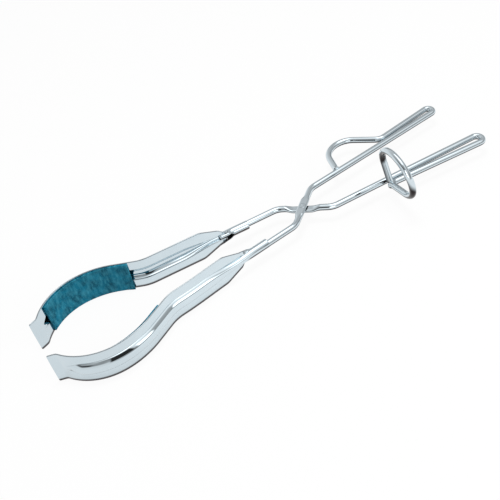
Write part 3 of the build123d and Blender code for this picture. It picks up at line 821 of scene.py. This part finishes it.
# Each steel gets its painted shade: the wire's underside, the sheet's edges, foot line and socket underside,
# and the rivet's rim.
finishes = [
    (wires, buffedSteel(steels["wire"], paintedUndersideShade)),
    (jaws, buffedSteel(steels["sheet"], paintedEdgeShade)),
    ([rivetPiece], buffedSteel(steels["rivet"], paintedRimShade)),
    (gaskets, fibreSheet(fibre)),
]
for pieces, material in finishes:
    for piece in pieces:
        piece.data.materials.append(material)
print("materials made")


# Floor, background and light

# The studio as polished metal sees it. Each band is a height above the horizon with the
# brightness of the room at a few compass directions (degrees from +X towards +Y). The room is
# dark behind the photographer, with one tall soft box to the right of the lens. The next names
# give the heights, in degrees, over which one band turns into the next. The floor's mirrored
# level rises along X between two places in metres.
studio = {
    "floor": 0.92, "floorRough": 0.9, "floorGlow": 0.93, "floorMirrored": 0.8, "floorHalf": 3.0,
    "mirroredLevel": (0.85, 0.96), "mirroredFrom": (-0.16, -0.06), "sky": 0.5, "backdrop": 1.0,
    "low": [(-180, 0.84), (-110, 0.8), (-92, 0.6), (-72, 0.3), (-60, 0.3), (-30, 0.4), (0, 0.45), (35, 0.32),
            (68, 0.3), (84, 0.9), (120, 0.9), (180, 0.84)],
    "middle": [(-180, 0.12), (-165, 0.1), (-150, 0.03), (-141, 0.03), (-133, 0.3), (-118, 0.33), (-100, 0.5),
               (-82, 0.66), (-66, 0.8), (-50, 0.6), (-34, 0.45), (-10, 0.5), (45, 0.6), (68, 0.64),
               (90, 0.75), (135, 0.6), (180, 0.12)],
    "high": [(-180, 0.35), (-160, 0.4), (-140, 0.5), (-125, 0.35), (-106, 0.3), (-92, 0.45), (-82, 0.7),
             (-70, 0.98), (-50, 1.05), (-34, 1.1), (-14, 1.0), (6, 0.5), (40, 0.48), (65, 0.65),
             (110, 0.6), (180, 0.35)],
    "top": [(-180, 0.7), (-120, 0.9), (-80, 1.8), (0, 2.2), (60, 2.0), (110, 0.7), (180, 0.7)],
    "lowToMiddle": (14, 32), "middleToHigh": (35, 48), "highToTop": (57, 65),
}


# The brightness round the horizon: turn runs from 0 to 1 as the direction goes right round.
def skyBand(tree, turn, band):
    ramp = add(tree, "ShaderNodeValToRGB", Fac=turn)
    stops = ramp.color_ramp.elements
    while len(stops) > 1:
        stops.remove(stops[-1])
    for index, (degrees, level) in enumerate(band):
        position = (degrees + 180) / 360
        stop = stops[0] if index == 0 else stops.new(position)
        stop.position = position
        stop.color = (level, level, level, 1)
    return ramp.outputs["Color"]


# Two shaders mixed: the first at share 0, the second at share 1.
def mixShaders(tree, share, first, second):
    mix = add(tree, "ShaderNodeMixShader", Fac=share)
    tree.links.new(first, mix.inputs[1])
    tree.links.new(second, mix.inputs[2])
    return mix.outputs["Shader"]


white = (1, 1, 1, 1)
world = bpy.data.worlds.new("studio")
scene.world = world
world.use_nodes = True
tree = world.node_tree
tree.nodes.clear()
split = add(tree, "ShaderNodeSeparateXYZ", Vector=add(tree, "ShaderNodeTexCoord").outputs["Generated"])
turn = calculate(tree, "ARCTAN2", split.outputs["Y"], split.outputs["X"])
turn = calculate(tree, "MULTIPLY_ADD", turn, 1 / (2 * np.pi), 0.5)
climb = calculate(tree, "DEGREES", calculate(tree, "ARCSINE", split.outputs["Z"]))
low, middle, high, top = (skyBand(tree, turn, studio[band]) for band in ("low", "middle", "high", "top"))
room = blend(tree, between(tree, climb, *studio["lowToMiddle"]), low, middle)
room = blend(tree, between(tree, climb, *studio["middleToHigh"]), room, high)
room = blend(tree, between(tree, climb, *studio["highToTop"]), room, top)
rays = add(tree, "ShaderNodeLightPath").outputs
mirroredRoom = add(tree, "ShaderNodeBackground", Color=room).outputs[0]
plain = {"Color": white, "Strength": studio["backdrop"]}
backdrop = add(tree, "ShaderNodeBackground", plain).outputs[0]
softSky = add(tree, "ShaderNodeBackground", {"Color": white, "Strength": studio["sky"]}).outputs[0]
surrounds = mixShaders(tree, rays["Is Glossy Ray"], softSky, mirroredRoom)
surrounds = mixShaders(tree, rays["Is Camera Ray"], surrounds, backdrop)
add(tree, "ShaderNodeOutputWorld", Surface=surrounds)

# White paper: matt, with a glow towards the camera that leaves the shadow, and a mirrored level.
far = studio["floorHalf"]
floorMesh = bpy.data.meshes.new("floor")
floorMesh.from_pydata([(-far, -far, 0), (far, -far, 0), (far, far, 0), (-far, far, 0)], [], [(0, 1, 2, 3)])
floor = bpy.data.objects.new("floor", floorMesh)
scene.collection.objects.link(floor)
paper, tree = newMaterial("whitePaper")
rays = add(tree, "ShaderNodeLightPath").outputs
tone = (studio["floor"],) * 3 + (1,)
settings = {"Base Color": tone, "Roughness": studio["floorRough"]}
matt = add(tree, "ShaderNodeBsdfPrincipled", settings).outputs["BSDF"]
glow = add(tree, "ShaderNodeEmission", plain).outputs["Emission"]
place = add(tree, "ShaderNodeTexCoord").outputs["Object"]
across = add(tree, "ShaderNodeSeparateXYZ", Vector=place).outputs["X"]
lowest, highest = studio["mirroredLevel"]
level = between(tree, across, *studio["mirroredFrom"])
level = calculate(tree, "MULTIPLY_ADD", level, highest - lowest, lowest)
evenly = add(tree, "ShaderNodeEmission", {"Color": white}, Strength=level).outputs["Emission"]
mirroredShare = calculate(tree, "MULTIPLY", rays["Is Glossy Ray"], studio["floorMirrored"])
surface = mixShaders(tree, mirroredShare, matt, evenly)
glowShare = calculate(tree, "MULTIPLY", rays["Is Camera Ray"], studio["floorGlow"])
surface = mixShaders(tree, glowShare, surface, glow)
add(tree, "ShaderNodeOutputMaterial", Surface=surface)
floorMesh.materials.append(paper)

# A white card right of the lens and a black one left of it, both just in front of the tongs.
# Only mirrors see them, and their borders fade. Sizes are in metres.
cards = {
    "whiteCard": {
        "left": -0.07, "right": 0.06, "foot": 0.032, "top": 0.145, "depth": -0.159,
        "fade": (0.022, 0.045), "level": 2.2,
    },
    "blackCard": {
        "left": -0.185, "right": -0.072, "foot": 0.035, "top": 0.22, "depth": -0.159,
        "fade": (0.014, 0.014), "level": 0.025,
    },
}
for name, card in cards.items():
    wide, tall = (card["left"], card["right"]), (card["foot"], card["top"])
    cardMesh = bpy.data.meshes.new(name)
    corners = [(x, card["depth"], z) for z in tall for x in wide]
    cardMesh.from_pydata(corners, [], [(0, 1, 3, 2)])
    cardPiece = bpy.data.objects.new(name, cardMesh)
    scene.collection.objects.link(cardPiece)
    cardMaterial, tree = newMaterial(name)
    place = add(tree, "ShaderNodeTexCoord").outputs["Object"]
    place = add(tree, "ShaderNodeSeparateXYZ", Vector=place).outputs
    shown = 1.0
    for axis, (start, end) in (("X", wide), ("Z", tall)):
        along = place[axis]
        shown = calculate(tree, "MULTIPLY", shown, between(tree, along, start, start + card["fade"][0]))
        shown = calculate(tree, "MULTIPLY", shown, between(tree, along, end, end - card["fade"][axis == "X"]))
    level = {"Color": white, "Strength": card["level"]}
    shine = add(tree, "ShaderNodeEmission", level).outputs["Emission"]
    clear = add(tree, "ShaderNodeBsdfTransparent").outputs["BSDF"]
    add(tree, "ShaderNodeOutputMaterial", Surface=mixShaders(tree, shown, clear, shine))
    cardMesh.materials.append(cardMaterial)
    cardPiece.visible_camera = cardPiece.visible_diffuse = cardPiece.visible_shadow = False

# Two soft lamps that shape the shadow and the matt gasket. Metal does not mirror them.
lamps = {
    "overhead": {"place": (0.02, 0.0, 1.0), "size": 0.3, "power": 4.4},
    "softBox": {"place": (0.43, -0.67, 0.42), "size": 0.45, "power": 2.8},
}
for name, lamp in lamps.items():
    data = bpy.data.lights.new(name, "AREA")
    data.size = lamp["size"]
    data.energy = lamp["power"]
    light = bpy.data.objects.new(name, data)
    light.location = lamp["place"]
    light.rotation_euler = (-Vector(lamp["place"])).to_track_quat("-Z", "Y").to_euler()
    light.visible_glossy = False
    scene.collection.objects.link(light)
scene.view_settings.view_transform = "Standard"
print("light set")
